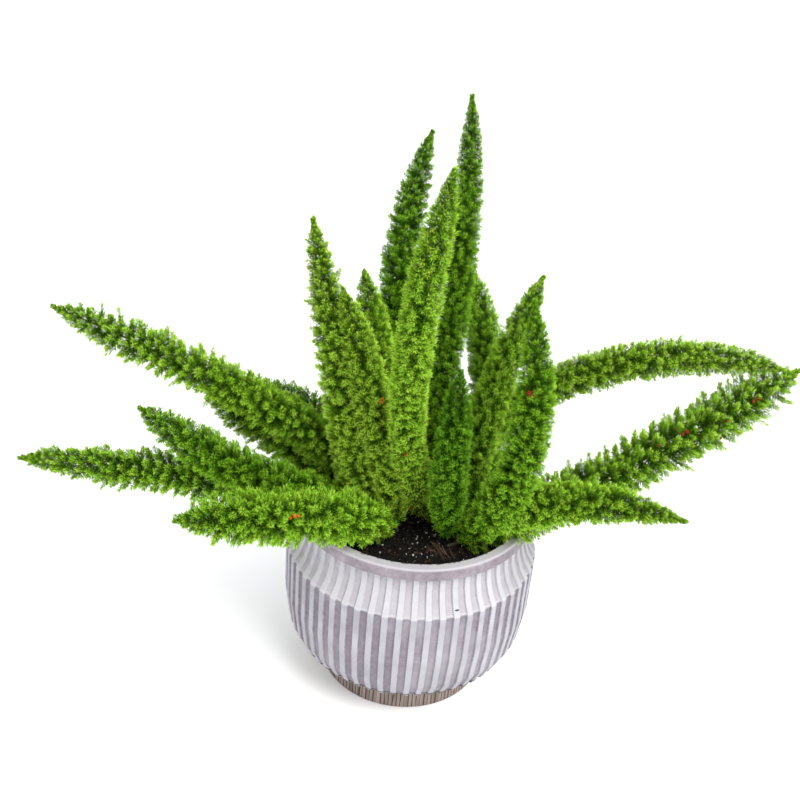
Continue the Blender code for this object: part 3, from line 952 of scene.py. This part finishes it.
def build_berries():
    """Small ripe berries and dried flowers that sit at the front of a few plumes."""
    tones = [(0.0, (0.15, 0.010, 0.003)), (0.5, (0.32, 0.070, 0.005)), (1.0, (0.48, 0.17, 0.010))]
    red = toned_material("berry_skin", tones, [(0.0, 0.4), (1.0, 1.0)], 0.65, 0.12)
    corners, faces = lump_shape()
    pile = Pile()
    for name, place, sideways, size, tone in BERRIES:
        row, looks = PLUMES[name]
        line = Line(*row)
        place = np.array([float(place)])
        point, way, _, _ = line.at(place)
        front = np.array([0.0, -0.86, 0.51])
        front = unit(front - way[0] * np.dot(front, way[0]))
        right = np.cross(way[0], front)
        right = right * (1.0 if right[0] > 0 else -1.0)
        out = half_width(place, line.length, looks[0], looks[1])[0] * 0.97
        centre = point[0] + (front * out + right * sideways) / 1000
        shape = corners * (1.0 + RNG.normal(0.0, 0.10, (12, 1))) * size / 1000
        shape = shape + centre
        shades = np.zeros((12, 2))
        shades[:, 0] = np.clip(tone + RNG.normal(0.0, 0.06, 12), 0.02, 0.98)
        # Painted light: each berry is darker underneath and lighter on top.
        shades[:, 1] = 0.35 + 0.6 * (corners[:, 2] + 1) / 2
        pile.add(shape[None], faces, shades[None])
    piece = pile.piece("ripe_berries", red)
    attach(piece, "root")


# ---------------------------------------------------------------- stage

CAMERA_PLACE = (-0.0254, -1.0090, 0.9438)
CAMERA_PITCH = 30.5
CAMERA_ROLL = 4.7


def soft_sun(name, spot, strength, softness, colour):
    data = bpy.data.lights.new(name, "SUN")
    data.angle = math.radians(softness)
    data.energy = strength
    data.color = colour
    lamp = bpy.data.objects.new(name, data)
    lamp.location = spot
    lamp.rotation_mode = "QUATERNION"
    lamp.rotation_quaternion = (-Vector(spot)).to_track_quat("-Z", "Y")
    bpy.context.scene.collection.objects.link(lamp)


def build_floor():
    """A plain pale floor."""
    made, nodes, link, shader = new_material("pale_floor")
    place = nodes.new("ShaderNodeNewGeometry").outputs["Position"]
    tone = ramp(nodes, [(0.0, (0.93, 0.93, 0.935)), (1.0, (0.95, 0.95, 0.95))])
    link(noise_node(nodes, link, place, 0.8), tone.inputs["Fac"])
    link(tone.outputs["Color"], shader.inputs["Base Color"])
    shader.inputs["Roughness"].default_value = 0.9
    mesh = bpy.data.meshes.new("floor")
    mesh.from_pydata([(-20, -20, 0), (20, -20, 0), (20, 20, 0), (-20, 20, 0)], [], [(0, 1, 2, 3)])
    mesh.materials.append(made)
    floor = bpy.data.objects.new("floor", mesh)
    bpy.context.scene.collection.objects.link(floor)


def build_light():
    """A soft sky and one wide soft lamp, high on the right."""
    world = bpy.data.worlds.new("soft_sky")
    bpy.context.scene.world = world
    world.use_nodes = True
    sky = world.node_tree.nodes["Background"]
    sky.inputs["Color"].default_value = (0.97, 0.98, 1.0, 1.0)
    sky.inputs["Strength"].default_value = 1.25
    soft_sun("key", (0.9, -0.9, 1.8), 3.2, 35.0, (1.0, 0.99, 0.96))
    bpy.context.scene.view_settings.view_transform = "Standard"


def build_camera():
    """The camera, looking down at the plant with a slight roll."""
    pitch, roll = math.radians(CAMERA_PITCH), math.radians(CAMERA_ROLL)
    forward = Vector((0.0, math.cos(pitch), -math.sin(pitch)))
    level = Vector((1.0, 0.0, 0.0))
    upright = level.cross(forward)
    right = level * math.cos(roll) + upright * math.sin(roll)
    up = upright * math.cos(roll) - level * math.sin(roll)
    lens = bpy.data.cameras.new("camera")
    lens.lens = 50.0
    lens.sensor_width = 36.0
    camera = bpy.data.objects.new("camera", lens)
    turned = Matrix((right, up, -forward)).transposed().to_4x4()
    camera.matrix_world = Matrix.Translation(CAMERA_PLACE) @ turned
    bpy.context.scene.collection.objects.link(camera)
    bpy.context.scene.camera = camera


build_floor()
build_light()
build_camera()
paint_pot()
build_soil()
build_crumbs()
build_litter()
build_bare_stems()
build_crown()
build_berries()
build_plumes()
